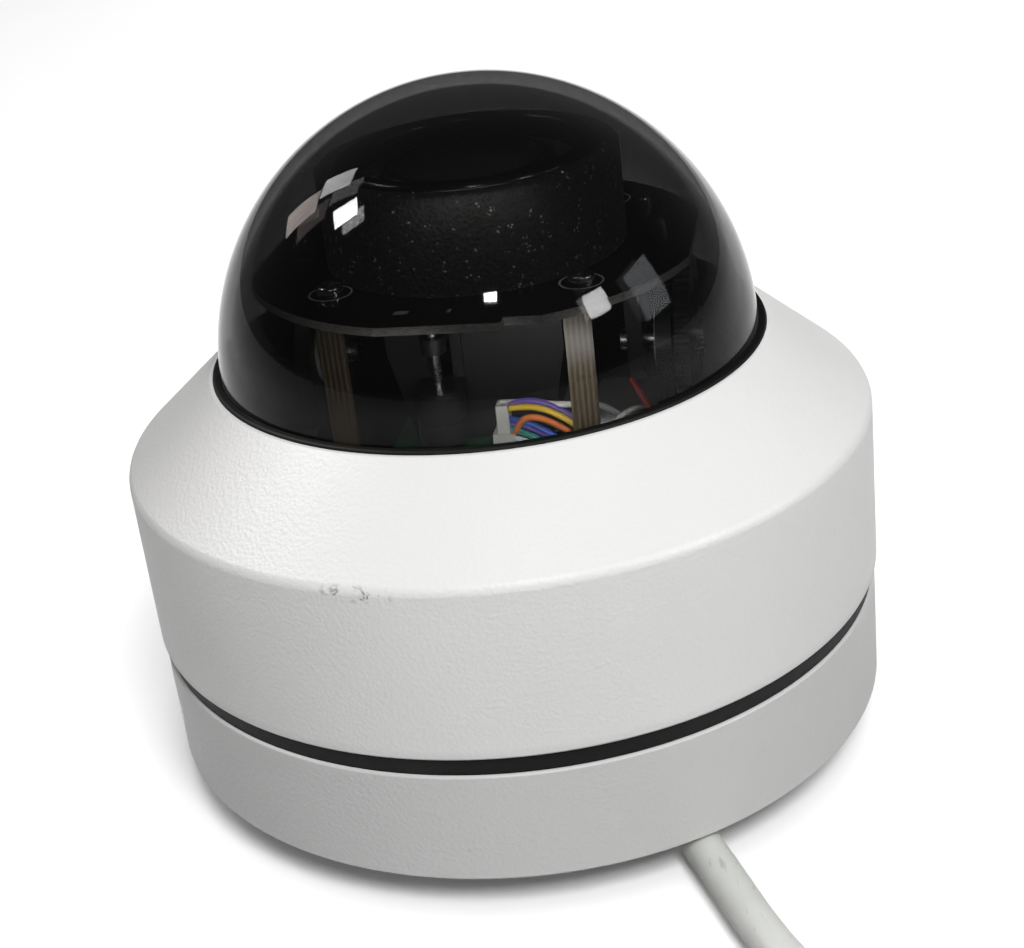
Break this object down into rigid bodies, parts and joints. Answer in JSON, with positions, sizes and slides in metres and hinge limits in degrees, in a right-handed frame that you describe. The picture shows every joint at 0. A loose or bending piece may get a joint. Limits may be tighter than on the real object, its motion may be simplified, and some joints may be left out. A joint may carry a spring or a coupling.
{
  "type": "ptz camera",
  "caption": "Vandal-dome pan, tilt and zoom camera: white base and cone housing, smoked dome over a tilting lens head, surface bracket and a network lead.",
  "frame": {"origin": "on the pan axis at the bottom face of the mounting bracket", "axes": "+Z along the pan axis, out of the dome; -Y is the front; +X is the right"},
  "size_m": [0.157, 0.2949, 0.1334],
  "materials": {
    "bracket_paint": "fine powder coat",
    "white_coat": "fine grained powder coat",
    "stainless": "machined",
    "screw_steel": "bright nickel",
    "seal_rubber": "matt",
    "smoked_dome": "smoked, polished",
    "black_plate": "satin",
    "black_plastic": "fine matt",
    "zinc_plate": "rolled",
    "bearing_plastic": "smooth",
    "motor_can": "drawn",
    "brass_gear": "hobbed",
    "green_board": "solder mask",
    "chip_black": "moulded",
    "bright_shell": "stamped",
    "card_black": "moulded",
    "button_plastic": "smooth",
    "boot_rubber": "matt",
    "cable_jacket": "matt, lightly soiled",
    "white_gear": "moulded",
    "black_gear": "moulded",
    "turned_steel": "turned",
    "black_board": "black solder mask, routed edge",
    "emitter_resin": "clear-dark resin",
    "sponge": "speckled sponge",
    "bezel_gloss": "polished",
    "lens_black": "satin",
    "lens_glass": "coated",
    "motor_black": "gloss black",
    "connector_white": "moulded",
    "ribbon_film": "polyimide film"
  },
  "bodies": {
    "housing": {"base_screws": "stainless", "base_seal": "seal_rubber", "board_components": "chip_black", "cable_boot": "boot_rubber", "cable_coil": "cable_jacket", "card_slot": "bright_shell", "deck": "zinc_plate", "dome_clamp_ring": "black_plate", "dome_cover": "smoked_dome", "dome_gasket": "seal_rubber", "inner_liner": "black_plastic", "inner_screws": "stainless", "lock_screw": "stainless", "main_board": "green_board", "mounting_base": "white_coat", "mounting_bracket": "bracket_paint", "network_cable": "cable_jacket", "network_socket": "boot_rubber", "pan_bush": "bearing_plastic", "pan_motor": "motor_can", "reset_switch": "chip_black", "socket_nut": "boot_rubber", "upper_housing": "white_coat"},
    "camera_head": {"tilt_cradle": "black_plate", "tilt_shafts": "turned_steel", "trunnion_nuts": "turned_steel", "tilt_gear": "black_gear", "led_board": "black_board", "led_board_screws": "screw_steel", "led_emitters": "emitter_resin", "foam_shield": "sponge", "lens_bezel": "bezel_gloss", "inner_foam": "sponge", "lens_barrel": "lens_black", "front_lens": "lens_glass", "lens_block_front": "black_plastic", "lens_block_back": "black_plastic", "lens_motors": "motor_black", "lens_motor_brackets": "black_plate", "sensor_board": "green_board", "sensor_board_parts": "connector_white"},
    "pan_head": {"turntable": "black_plate", "hub_clip": "screw_steel", "pan_gear": "white_gear", "yoke_arm_left": "black_plate", "yoke_arm_right": "black_plate", "tilt_bushes": "bearing_plastic", "yoke_screws": "stainless", "tilt_motor": "motor_can", "flex_ribbons": "ribbon_film"},
    "pan_drive": {"pan_pinion": "brass_gear"},
    "tilt_drive": {"tilt_pinion": "brass_gear"},
    "zoom_group": {"zoom_carrier": "lens_black", "zoom_glass": "lens_glass"},
    "focus_group": {"focus_carrier": "lens_black", "focus_glass": "lens_glass"},
    "zoom_drive": {"zoom_screw": "turned_steel"},
    "focus_drive": {"focus_screw": "turned_steel"},
    "card": {"memory_card": "card_black"},
    "button": {"reset_button": "button_plastic"}
  },
  "joints": [
    {"name": "pan", "type": "hinge", "parent": "housing", "child": "pan_head", "pos_m": [0, 0, 0.0365], "axis": [0, 0, 1], "range_deg": [-175, 175]},
    {"name": "tilt", "type": "hinge", "parent": "pan_head", "child": "camera_head", "pos_m": [0, 0, 0.0811], "axis": [0.9781, -0.2079, 0], "range_deg": [-90, 0], "deforming": ["flex_ribbons"]},
    {"name": "pan_pinion_spin", "type": "hinge", "parent": "housing", "child": "pan_drive", "pos_m": [0, 0.0504, 0.0326], "axis": [0, 0, 1], "range_deg": [-1400, 1400]},
    {"name": "tilt_pinion_spin", "type": "hinge", "parent": "pan_head", "child": "tilt_drive", "pos_m": [0.03805, -0.00809, 0.0625], "axis": [0.9781, -0.2079, 0], "range_deg": [0, 375]},
    {"name": "zoom_screw_spin", "type": "hinge", "parent": "camera_head", "child": "zoom_drive", "pos_m": [-0.01031, -0.01723, 0.0811], "axis": [0, 0, 1], "range_deg": [-432.5, 1656.5]},
    {"name": "zoom_slide", "type": "slide", "parent": "camera_head", "child": "zoom_group", "axis": [0, 0, 1], "range_m": [-0.0012, 0.0046]},
    {"name": "focus_screw_spin", "type": "hinge", "parent": "camera_head", "child": "focus_drive", "pos_m": [0.01031, 0.01723, 0.0811], "axis": [0, 0, 1], "range_deg": [-144.5, 648.5]},
    {"name": "focus_slide", "type": "slide", "parent": "camera_head", "child": "focus_group", "axis": [0, 0, 1], "range_m": [-0.0004, 0.0018]},
    {"name": "card_slide", "type": "slide", "parent": "housing", "child": "card", "axis": [-1, 0, 0], "range_m": [0, 0.008]},
    {"name": "reset_press", "type": "slide", "parent": "housing", "child": "button", "axis": [0, 0, -1], "range_m": [0, 0.0005], "stiffness_N_per_m": 800, "springref_m": -0.0005}
  ],
  "couplings": [
    {"joint": "pan_pinion_spin", "follows": "pan", "ratio": -8},
    {"joint": "tilt_pinion_spin", "follows": "tilt", "ratio": -4.1667},
    {"joint": "zoom_screw_spin", "follows": "zoom_slide", "rad_per_m": 6283.2},
    {"joint": "focus_screw_spin", "follows": "focus_slide", "rad_per_m": 6283.2}
  ]
}
